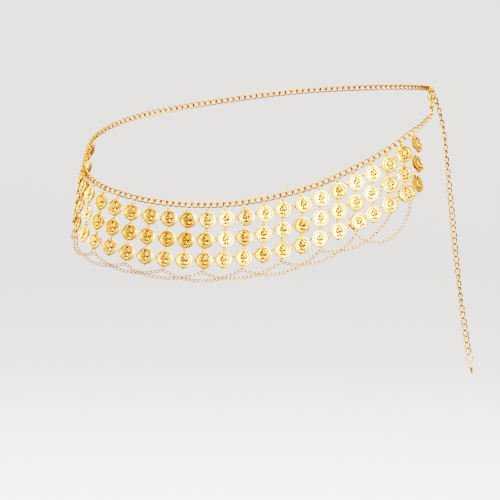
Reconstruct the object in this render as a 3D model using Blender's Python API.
"""A belly dance coin belt, in the shape that it takes round the hips.

A curb chain goes round the waist. Three rows of coins hang from it as a net, with swags of fine chain under
them. A lobster clasp closes the chain at the wearer's left side, where the spare chain hangs down to a drop.
Metres, +Z up, the wearer facing -Y. The origin is the middle of the opening that the hips fill.
"""

import math
from collections import namedtuple

import bmesh
import bpy
from mathutils import Matrix, Vector

MM = 0.001

# The general figure that the belt lies on: a rounded section that widens downwards
HIP_HALF_WIDTH = 178 * MM
HIP_FRONT_DEPTH = 92 * MM
HIP_BACK_DEPTH = 122 * MM
FRONT_SQUARENESS = 2.8
BACK_SQUARENESS = 2.3
SIDE_FLARE = 0.15
DEPTH_FLARE = 0.12
WAIST_DRAW = 1.4  # how fast the sides draw in to the waist, per metre of height squared

# Where the waist chain lies. A turn is counted from the wearer's left side over the front.
Station = namedtuple("Station", "turn_deg height_mm")
CHAIN_STATIONS = (
    Station(15.5, 41),
    Station(20, 34),
    Station(27, 22.5),
    Station(34, 10),
    Station(45.5, -6),
    Station(62, -22.3),
    Station(81, -32.4),
    Station(102, -39.4),
    Station(123, -42.4),
    Station(141.5, -39.5),
    Station(156, -30.4),
    Station(166.5, -19.5),
    Station(186, 5),
    Station(215, 27),
    Station(270, 46),
    Station(330, 57),
    Station(372.2, 62.4),
)
TAIL_STATIONS = (
    Station(12.4, 58.3),
    Station(11.3, 55),
    Station(10.4, 50),
    Station(9.3, 40),
    Station(9.5, 25),
    Station(11.5, 0),
    Station(14, -60),
    Station(15.3, -100),
    Station(16.3, -150),
    Station(15.6, -230),
)

# Waist chain and coin net
LINK_PITCH = 6.12 * MM
LINK_WIDTH = 6.4 * MM
LINK_WIRE = 1.4 * MM
LINKS_PER_COLUMN = 3
END_LINKS = 5  # between the clasp's jump ring and the first coin column
COLUMNS = 25
ROWS = 3
COIN_DIAMETER = 16 * MM
COIN_THICKNESS = 1.2 * MM
COIN_SIDES = 16
COIN_RIM = 1.0 * MM
COIN_FIELD_DEPTH = 0.35 * MM
FIRST_DROP = 14.4 * MM
ROW_PITCH = 19.4 * MM
LAY = 1.6 * MM  # from the figure to the middle of the chain and of the coins
COLUMN_LEAN = 0.12  # how far the first columns lean towards the wearer's right, for each drop
UPRIGHT_COLUMN = 14
EDGE_LEAN = 0.03
EDGE_TURN = math.radians(26)  # the coins of the first column hang turned outwards

# Swags of fine chain under the net
FINE_PITCH = 4.08 * MM
FINE_LINKS = 20
TWISTED_SWAGS = range(8, 18)  # the columns whose swags hang twisted, which shortens them
TWIST_TAKES = 2.0 * MM
FINE_WIDTH = 3.2 * MM
FINE_THICKNESS = 1.6 * MM
SWAG_SPAN = 4  # in columns
SWAG_EVERY = 2
SWAG_LIFT = 2.4 * MM  # how far every other swag is lifted to cross its neighbours
SWAG_EASE = 0.16  # the share of a swag's width over which it lifts
SWAG_RING = 3.4 * MM
EDGE_PULL = math.radians(1.9)  # how far the first swag pulls its upper end in
EDGE_PULL_DOWN = 3.0 * MM

# Lobster clasp
CLASP_TOP = Station(13, 58.5)
EYE_DIAMETER = 5.2 * MM
EYE_WIRE = 1.1 * MM
HOOKED_UP = 16.0 * MM  # from the eye to the middle of the link that the claw holds
HOOKED_WIDER = 0.2 * MM
CLAW_THICKNESS = 2.4 * MM
JUMP_RING = 5.0 * MM
JUMP_WIRE = 0.9 * MM

# The hanging end
TAIL_LINKS = 43
TAIL_LAY = 3.4 * MM
# How far the chain is turned from flat on the figure, down its length
TwistStation = namedtuple("TwistStation", "length_mm turned_deg")
TAIL_TWISTS = (
    TwistStation(0, 75),
    TwistStation(14, 25),
    TwistStation(76, 18),
    TwistStation(94, 35),
    TwistStation(112, 58),
    TwistStation(150, 55),
    TwistStation(175, 32),
    TwistStation(200, 2),
    TwistStation(214, 18),
    TwistStation(230, 58),
    TwistStation(275, 58),
)
END_RING = 7.8 * MM
END_WIRE = 1.0 * MM
DROP_LENGTH = 12 * MM
DROP_WIDTH = 2.6 * MM
DROP_EYE = 3.6 * MM
DROP_WIRE = 0.8 * MM
ProfilePoint = namedtuple("ProfilePoint", "share width")
DROP_PROFILE = (
    ProfilePoint(0, 0.3),
    ProfilePoint(0.12, 0.72),
    ProfilePoint(0.4, 1),
    ProfilePoint(0.65, 0.8),
    ProfilePoint(1, 0.22),
)

GAP = 0.3 * MM
COIN_GOLD = ("coin_gold", (0.83, 0.60, 0.22), 0.28)
CHAIN_GOLD = ("chain_gold", (0.80, 0.55, 0.18), 0.24)


# ---- the figure and the paths on it


def surface(turn, height):
    """The point of the figure at this turn and height."""
    front = math.sin(turn) > 0
    depth = HIP_FRONT_DEPTH if front else HIP_BACK_DEPTH
    power = FRONT_SQUARENESS if front else BACK_SQUARENESS
    half_width = HIP_HALF_WIDTH - SIDE_FLARE * height - WAIST_DRAW * max(height, 0) ** 2
    across = abs(math.cos(turn)) / half_width
    deep = abs(math.sin(turn)) / (depth - DEPTH_FLARE * height)
    radius = (across**power + deep**power) ** (-1 / power)
    return Vector((radius * math.cos(turn), -radius * math.sin(turn), height))


def frame_at(turn, height):
    """Unit vectors on the figure: left and up as seen from outside, and outward."""
    step = 1e-4
    left = (surface(turn + step, height) - surface(turn - step, height)).normalized()
    up = (surface(turn, height + step) - surface(turn, height - step)).normalized()
    return left, up, up.cross(left).normalized()


def laid(turn, height, out=LAY):
    return surface(turn, height) + frame_at(turn, height)[2] * out


def curve_through(knots, values):
    """A smooth function through values at rising knots."""

    def slope(i):
        low, high = max(i - 1, 0), min(i + 1, len(knots) - 1)
        return (values[high] - values[low]) / (knots[high] - knots[low])

    def value(x):
        k = max([i for i in range(len(knots) - 1) if knots[i] <= x], default=0)
        width = knots[k + 1] - knots[k]
        t = (x - knots[k]) / width
        rise = (3 - 2 * t) * t * t
        bend = slope(k) * t * (1 - t) ** 2 - slope(k + 1) * t * t * (1 - t)
        return values[k] + (values[k + 1] - values[k]) * rise + bend * width

    return value


class Path:
    """A curve on the figure, measured by its length. The point at x comes from a function."""

    def __init__(self, point, start, end, steps=2400):
        self.point, self.table = point, [(0.0, start)]
        here = point(start)
        for k in range(1, steps + 1):
            x = start + (end - start) * k / steps
            there = point(x)
            self.table.append((self.table[-1][0] + (there - here).length, x))
            here = there
        self.length = self.table[-1][0]

    def x_at(self, length):
        low, high = 0, len(self.table) - 1
        while high - low > 1:
            middle = (low + high) // 2
            if self.table[middle][0] <= length:
                low = middle
            else:
                high = middle
        (before, start), (after, end) = self.table[low], self.table[high]
        return start + (end - start) * (length - before) / (after - before)

    def at(self, length):
        """Centre and direction at this length."""
        step = 0.5 * MM
        ahead, behind = self.point(self.x_at(length + step)), self.point(self.x_at(length - step))
        return self.point(self.x_at(length)), (ahead - behind).normalized()


chain_height = curve_through(
    [math.radians(s.turn_deg) for s in CHAIN_STATIONS], [s.height_mm * MM for s in CHAIN_STATIONS]
)
tail_turn = curve_through(
    [-s.height_mm * MM for s in TAIL_STATIONS], [math.radians(s.turn_deg) for s in TAIL_STATIONS]
)
WAIST = Path(
    lambda turn: laid(turn, chain_height(turn)),
    math.radians(CHAIN_STATIONS[0].turn_deg),
    math.radians(CHAIN_STATIONS[-1].turn_deg),
)
tail_twist = curve_through(
    [s.length_mm * MM for s in TAIL_TWISTS], [math.radians(s.turned_deg) for s in TAIL_TWISTS]
)
TAIL = Path(
    lambda depth: laid(tail_turn(depth), -depth, TAIL_LAY),
    -TAIL_STATIONS[0].height_mm * MM,
    -TAIL_STATIONS[-1].height_mm * MM,
)


# ---- solids


def gold(kind):
    name, colour, roughness = kind
    material = bpy.data.materials.get(name)
    if material is None:
        material = bpy.data.materials.new(name)
        material.use_nodes = True
        shader = material.node_tree.nodes["Principled BSDF"]
        shader.inputs["Base Color"].default_value = (*colour, 1)
        shader.inputs["Metallic"].default_value = 1
        shader.inputs["Roughness"].default_value = roughness
    return material


def add_object(name, shape, kind):
    """A named object from a bmesh, with its faces pointing out."""
    bmesh.ops.recalc_face_normals(shape, faces=shape.faces)
    mesh = bpy.data.meshes.new(name)
    shape.to_mesh(mesh)
    shape.free()
    mesh.materials.append(gold(kind))
    made = bpy.data.objects.new(name, mesh)
    bpy.context.scene.collection.objects.link(made)
    return made


def rectangle(half_width, half_thickness):
    return [
        (half_width, half_thickness),
        (-half_width, half_thickness),
        (-half_width, -half_thickness),
        (half_width, -half_thickness),
    ]


def circle(radius, sides=6):
    turns = [math.tau * (k + 0.5) / sides for k in range(sides)]
    return [(radius * math.cos(t), radius * math.sin(t)) for t in turns]


def sweep(shape, sections, closed=False):
    """Joins sections into a body. Each is (centre, side, out, outline), the outline in side and out."""
    loops = [[shape.verts.new(c + side * a + out * b) for a, b in outline] for c, side, out, outline in sections]
    for near, far in list(zip(loops, loops[1:])) + ([(loops[-1], loops[0])] if closed else []):
        for k in range(len(near)):
            after = (k + 1) % len(near)
            shape.faces.new((near[k], near[after], far[after], far[k]))
    if not closed:
        shape.faces.new(loops[0])
        shape.faces.new(loops[-1])


def place(origin, x_axis, y_axis):
    """A matrix whose X and Y axes point these ways."""
    x = x_axis.normalized()
    z = x.cross(y_axis).normalized()
    basis = Matrix((x, z.cross(x), z)).transposed()
    return Matrix.Translation(origin) @ basis.to_4x4()


def ring(name, where, outer_length, outer_width, wire, steps=16, sides=6):
    """An oval wire ring in the X-Y plane of a placing matrix, long in X."""
    half_length, half_width = (outer_length - wire) / 2, (outer_width - wire) / 2
    basis = where.to_3x3()
    sections = []
    for k in range(steps):
        turn = math.tau * k / steps
        centre = where @ Vector((half_length * math.cos(turn), half_width * math.sin(turn), 0))
        outward = Vector((half_width * math.cos(turn), half_length * math.sin(turn), 0)).normalized()
        sections.append((centre, basis @ outward, basis @ Vector((0, 0, 1)), circle(wire / 2, sides)))
    shape = bmesh.new()
    sweep(shape, sections, closed=True)
    return add_object(name, shape, CHAIN_GOLD)


def union(target, other):
    """Joins other into target, and removes it."""
    join = target.modifiers.new("join", "BOOLEAN")
    join.operation = "UNION"
    join.object = other
    graph = bpy.context.evaluated_depsgraph_get()
    mesh = bpy.data.meshes.new_from_object(target.evaluated_get(graph))
    target.modifiers.clear()
    target.data = mesh
    bpy.data.objects.remove(other)
    return target


# ---- chain


def link_outline(at_joint):
    """A curb link is widest at its middle, and thickest where it goes through the next."""
    if at_joint:
        return rectangle(LINK_WIDTH * 0.37, LINK_WIRE)
    return rectangle(LINK_WIDTH / 2, LINK_WIRE * 0.7)


def chain_stretch(name, path, start, links, pitch, twist=lambda length: 0.0):
    """A stretch of curb chain, whole links long, that starts at a joint. A twist is from flat on the figure."""
    sections = []
    for k in range(2 * links + 1):
        length = start + k * pitch / 2
        if k == 0:
            length += GAP / 2
        elif k == 2 * links:
            length -= GAP / 2
        centre, along = path.at(length)
        turn = math.atan2(-centre.y, centre.x)
        flat_out = frame_at(turn, centre.z)[2]
        flat_side = flat_out.cross(along).normalized()
        out = along.cross(flat_side).normalized()
        spin = Matrix.Rotation(twist(length), 3, along)
        sections.append((centre, spin @ flat_side, spin @ out, link_outline(k % 2 == 0)))
    shape = bmesh.new()
    sweep(shape, sections)
    return add_object(name, shape, CHAIN_GOLD)


# ---- coin net

CHAIN_START = JUMP_RING / 2 + GAP
FIRST_COLUMN = CHAIN_START + (END_LINKS - 0.5) * LINK_PITCH
HANG_DROP = FIRST_DROP + (ROWS - 1) * ROW_PITCH + COIN_DIAMETER / 2 + SWAG_RING


def column_length(column):
    """How far along the waist chain a column hangs."""
    return FIRST_COLUMN + column * LINKS_PER_COLUMN * LINK_PITCH


def under_chain(column, drop):
    """Turn and height of the point this far under the chain in a column."""
    turn = WAIST.x_at(column_length(column))
    height = chain_height(turn)
    lean = COLUMN_LEAN * max(1 - column / UPRIGHT_COLUMN, 0) + (EDGE_LEAN if column == 0 else 0)
    step = 1e-3
    rate = (surface(turn + step, height) - surface(turn - step, height)).length / (2 * step)
    turn += lean * drop / rate
    return turn, height - drop * frame_at(turn, height)[1].z


def swag_hang(column):
    """Turn and height of the point that swags hang from. The first swag pulls its end in from the edge."""
    turn, height = under_chain(column, HANG_DROP)
    return (turn + EDGE_PULL, height - EDGE_PULL_DOWN) if column == 0 else (turn, height)


def coin_frame(column, row):
    """Centre, left, up and outward unit vectors of one coin."""
    turn, height = under_chain(column, FIRST_DROP + row * ROW_PITCH)
    left, up, out = frame_at(turn, height)
    if column == 0:
        spin = Matrix.Rotation(EDGE_TURN, 3, up)
        left, out = spin @ left, spin @ out
    return laid(turn, height), left, up, out


def toward(frame, target):
    """The direction of a point in a coin's own plane, as an angle from its left."""
    centre, left, up, _ = frame
    away = target - centre
    return math.atan2(away.dot(up), away.dot(left))


class Coin:
    """One coin of a column: its vertex rings, and the sides that something is joined to."""

    def __init__(self, shape, frame, tilt):
        self.frame, self.tilt, self.joined = frame, tilt, set()
        radius, half = COIN_DIAMETER / 2, COIN_THICKNESS / 2
        levels = ((radius, -half), (radius, half), (radius - COIN_RIM, half - COIN_FIELD_DEPTH))
        self.rings = [[shape.verts.new(self.corner(k, r, level)) for k in range(COIN_SIDES)] for r, level in levels]

    def corner(self, k, radius=COIN_DIAMETER / 2, level=0.0):
        centre, left, up, out = self.frame
        angle = self.tilt + math.tau * (k - 0.5) / COIN_SIDES
        return centre + (left * math.cos(angle) + up * math.sin(angle)) * radius + out * level

    def side_facing(self, angle):
        return round((angle - self.tilt) * COIN_SIDES / math.tau) % COIN_SIDES

    def quad(self, side):
        back, front, _ = self.rings
        after = (side + 1) % COIN_SIDES
        return [back[side], back[after], front[after], front[side]]

    def take(self, angle):
        """Opens the side that faces this way, and returns its corners."""
        side = self.side_facing(angle)
        self.joined.add(side)
        return self.quad(side)

    def finish(self, shape):
        back, front, field = self.rings
        shape.faces.new(back)
        shape.faces.new(field)
        for k in range(COIN_SIDES):
            after = (k + 1) % COIN_SIDES
            shape.faces.new((front[k], front[after], field[after], field[k]))
            if k not in self.joined:
                shape.faces.new(self.quad(k))


def bridge(shape, near, far):
    for k in range(len(near)):
        after = (k + 1) % len(near)
        shape.faces.new((near[k], near[after], far[after], far[k]))


def stub(shape, near, far_points):
    """A short bar from an opened side to these points."""
    far = [shape.verts.new(p) for p in far_points]
    bridge(shape, near, far)
    shape.faces.new(far)


def column_tilt(column):
    """How far a column's coins are turned in their plane, so that a side faces the next column."""
    before, after = max(column - 1, 0), min(column + 1, COLUMNS - 1)
    frame = coin_frame(column, 1)
    step = coin_frame(after, 1)[0] - coin_frame(before, 1)[0]
    return math.atan2(step.dot(frame[2]), step.dot(frame[1]))


def coin_column(column):
    """Three coins, and the rings that join them to each other, to the waist chain and to the next column."""
    shape = bmesh.new()
    tilt = column_tilt(column)
    coins = [Coin(shape, coin_frame(column, row), tilt) for row in range(ROWS)]
    upward = math.pi / 2

    centre, along = WAIST.at(column_length(column))
    across_chain = along.cross(frame_at(*under_chain(column, 0))[2]).normalized()
    up = coins[0].frame[2]
    top = coins[0].take(upward)
    reach = LINK_WIDTH / 2 + GAP
    rises = [((centre - v.co).dot(across_chain) - reach) / up.dot(across_chain) for v in top]
    stub(shape, top, [v.co + up * rise for v, rise in zip(top, rises)])

    for upper, lower in zip(coins, coins[1:]):
        above, under = upper.take(-upward), lower.take(upward)
        bridge(shape, above, [under[1], under[0], under[3], under[2]])

    if column + 1 < COLUMNS:
        for row, coin in enumerate(coins):
            there = coin_frame(column + 1, row)
            neighbour_tilt = column_tilt(column + 1)
            facing = toward(there, coin.frame[0])
            side = round((facing - neighbour_tilt) * COIN_SIDES / math.tau)
            far = []
            for k, level in ((1, -1), (0, -1), (0, 1), (1, 1)):
                angle = neighbour_tilt + math.tau * (side + k - 0.5) / COIN_SIDES
                rim = (there[1] * math.cos(angle) + there[2] * math.sin(angle)) * COIN_DIAMETER / 2
                far.append(there[0] + rim + there[3] * level * COIN_THICKNESS / 2)
            near = coin.take(toward(coin.frame, there[0]))
            away = (sum(far, Vector()) - sum((v.co for v in near), Vector())).normalized()
            stub(shape, near, [p - away * GAP for p in far])

    if column % SWAG_EVERY == 0:
        low = coins[-1].take(-upward)
        _, left, up, _ = coins[-1].frame
        middle = sum((v.co for v in low), Vector()) / len(low)
        ends = [v.co - up * ((v.co - middle).dot(up) + SWAG_RING) - left * (v.co - middle).dot(left) / 2 for v in low]
        pull = laid(*swag_hang(column)) - laid(*under_chain(column, HANG_DROP))
        stub(shape, low, [end + pull for end in ends])

    for coin in coins:
        coin.finish(shape)
    return add_object(f"coin_column_{column + 1:02d}", shape, COIN_GOLD)


# ---- swags


def catenary(width, rise, length):
    """A hanging chain's height above its first end, as a function of the distance across."""
    low, high = 1e-3, 30.0
    target = math.sqrt(length**2 - rise**2) / width
    for _ in range(60):
        half = (low + high) / 2
        if math.sinh(half) / half < target:
            low = half
        else:
            high = half
    scale = width / (2 * low)
    middle = width / 2 - scale * math.asinh(rise / (2 * scale * math.sinh(low)))
    return lambda x: scale * (math.cosh((x - middle) / scale) - math.cosh(middle / scale))


def swag_length(first):
    return FINE_LINKS * FINE_PITCH - (TWIST_TAKES if first in TWISTED_SWAGS else 0)


def swag_path(first):
    """A path down one swag on the figure, with the lift that takes it over its neighbours."""
    (turn_a, height_a), (turn_b, height_b) = swag_hang(first), swag_hang(first + SWAG_SPAN)
    level = (height_a + height_b) / 2
    flat = Path(lambda share: surface(turn_a + (turn_b - turn_a) * share, level), 0, 1, steps=60)
    hang = catenary(flat.length, height_b - height_a, swag_length(first))
    lift = SWAG_LIFT if first % (2 * SWAG_EVERY) == 0 else 0

    def point(across):
        share = across / flat.length
        ease = min(1, min(share, 1 - share) / SWAG_EASE)
        out = FINE_THICKNESS / 2 + GAP + lift * ease * ease * (3 - 2 * ease)
        return laid(turn_a + (turn_b - turn_a) * flat.x_at(across), height_a + hang(across), out)

    return Path(point, 0, flat.length, steps=200)


def swag(number):
    path = swag_path(number * SWAG_EVERY)
    clear = COIN_DIAMETER * math.sin(math.pi / COIN_SIDES) / 4 + FINE_WIDTH / 2 + GAP
    sections = []
    for k in range(FINE_LINKS + 1):
        centre, along = path.at(clear + (path.length - 2 * clear) * k / FINE_LINKS)
        out = frame_at(math.atan2(-centre.y, centre.x), centre.z)[2]
        side = out.cross(along).normalized()
        sections.append((centre, side, along.cross(side), rectangle(FINE_WIDTH / 2, FINE_THICKNESS / 2)))
    shape = bmesh.new()
    sweep(shape, sections)
    return add_object(f"swag_{number + 1:02d}", shape, CHAIN_GOLD)


# ---- clasp, seen from outside: x towards the front, y up to the hook, z away from the wearer

ClawPoint = namedtuple("ClawPoint", "x_mm y_mm width_mm")
CLAW = (
    ClawPoint(0, 2.0, 2.2),
    ClawPoint(-1.5, 4.4, 2.4),
    ClawPoint(-2.7, 7.4, 2.0),
    ClawPoint(-2.8, 10.6, 1.8),
    ClawPoint(-1.9, 13.4, 1.7),
    ClawPoint(0, 14.8, 1.6),
    ClawPoint(1.9, 13.6, 1.5),
    ClawPoint(2.5, 11.4, 1.3),
)
TRIGGER = (
    ClawPoint(4.1, 5.6, 1.0),
    ClawPoint(2.6, 5.2, 1.5),
    ClawPoint(1.6, 6.4, 1.7),
    ClawPoint(2.1, 8.6, 1.4),
    ClawPoint(2.5, 10.6, 1.2),
)


def clasp_place():
    """The clasp's own axes. Its eye is a jump ring's reach from the start of the chain."""
    start, along = WAIST.at(CHAIN_START)
    eye = start - along * (JUMP_RING - JUMP_WIRE / 2 + GAP)
    top = laid(math.radians(CLASP_TOP.turn_deg), CLASP_TOP.height_mm * MM)
    front = frame_at(math.radians(CLASP_TOP.turn_deg), CLASP_TOP.height_mm * MM)[0]
    up = (top - eye).normalized()
    return place(eye, front - up * front.dot(up), up)


def claw_piece(name, points, thickness):
    """A flat bent piece of the clasp, through points with their own widths."""
    where = clasp_place()
    basis = where.to_3x3()
    sections = []
    for k, p in enumerate(points):
        before, after = points[max(k - 1, 0)], points[min(k + 1, len(points) - 1)]
        along = Vector((after.x_mm - before.x_mm, after.y_mm - before.y_mm, 0)).normalized()
        side = along.cross(Vector((0, 0, 1)))
        outline = rectangle(p.width_mm * MM / 2, thickness / 2)
        centre = where @ Vector((p.x_mm * MM, p.y_mm * MM, 0))
        sections.append((centre, basis @ side, basis @ Vector((0, 0, 1)), outline))
    shape = bmesh.new()
    sweep(shape, sections)
    return add_object(name, shape, CHAIN_GOLD)


def clasp():
    where = clasp_place()
    body = claw_piece("clasp_body", CLAW, CLAW_THICKNESS)
    eye = ring("clasp_eye", where, EYE_DIAMETER, EYE_DIAMETER, EYE_WIRE, steps=14)
    union(body, eye)
    claw_piece("clasp_trigger", TRIGGER, CLAW_THICKNESS * 0.6)
    front, up, out = where.to_3x3().transposed()
    link_place = place(where @ Vector((0, HOOKED_UP, 0)), up, out)
    ring("hooked_link", link_place, LINK_PITCH + 2 * LINK_WIRE, LINK_WIDTH + HOOKED_WIDER, LINK_WIRE)
    chain_start = WAIST.at(CHAIN_START)[0]
    reach = (chain_start - where.translation).normalized()
    middle = chain_start - reach * (JUMP_RING / 2 + GAP)
    ring("clasp_ring", place(middle, reach, out), JUMP_RING, JUMP_RING, JUMP_WIRE, steps=14)


# ---- the end of the spare chain


def tail_end():
    """A ring on the last link, long side down, and the drop that hangs in it."""
    end, along = TAIL.at(TAIL_LINKS * LINK_PITCH)
    out = frame_at(math.atan2(-end.y, end.x), end.z)[2]
    facing = Matrix.Rotation(tail_twist(TAIL_LINKS * LINK_PITCH), 3, along) @ out
    side = along.cross(facing)
    middle = end + along * (END_RING / 2)
    ring("end_ring", place(middle, along, side), END_RING, END_RING, END_WIRE)

    hinge = middle + along * (END_RING - END_WIRE) / 2
    eye_reach = DROP_EYE / 2 - DROP_WIRE - END_WIRE / 2 - GAP / 2
    eye_middle = hinge + along * eye_reach
    drop = ring("end_drop", place(eye_middle, along, facing), DROP_EYE, DROP_EYE, DROP_WIRE, steps=12)
    top = eye_middle + along * (DROP_EYE / 2 - DROP_WIRE * 0.7)
    sections = []
    for share, width in DROP_PROFILE:
        sections.append((top + along * DROP_LENGTH * share, side, facing, circle(width * DROP_WIDTH / 2, 8)))
    shape = bmesh.new()
    sweep(shape, sections)
    union(drop, add_object("spike", shape, CHAIN_GOLD))


# ---- build


def main():
    for old in list(bpy.data.objects):
        bpy.data.objects.remove(old)
    for column in range(COLUMNS):
        coin_column(column)
    for number in range((COLUMNS - 1 - SWAG_SPAN) // SWAG_EVERY + 1):
        swag(number)

    net_links = END_LINKS + (COLUMNS - 1) * LINKS_PER_COLUMN
    first_half = net_links // 2
    split = CHAIN_START + first_half * LINK_PITCH
    net_end = CHAIN_START + net_links * LINK_PITCH
    chain_stretch("waist_chain_front_left", WAIST, CHAIN_START, first_half, LINK_PITCH)
    chain_stretch("waist_chain_front_right", WAIST, split, net_links - first_half, LINK_PITCH)
    rest = WAIST.length - net_end
    back_links = round(rest / LINK_PITCH)
    back_pitch = rest / back_links
    first_half = back_links // 2
    split = net_end + first_half * back_pitch
    chain_stretch("waist_chain_back_right", WAIST, net_end, first_half, back_pitch)
    chain_stretch("waist_chain_back_left", WAIST, split, back_links - first_half, back_pitch)
    clasp()
    chain_stretch("tail_chain", TAIL, 0, TAIL_LINKS, LINK_PITCH, tail_twist)
    tail_end()


main()
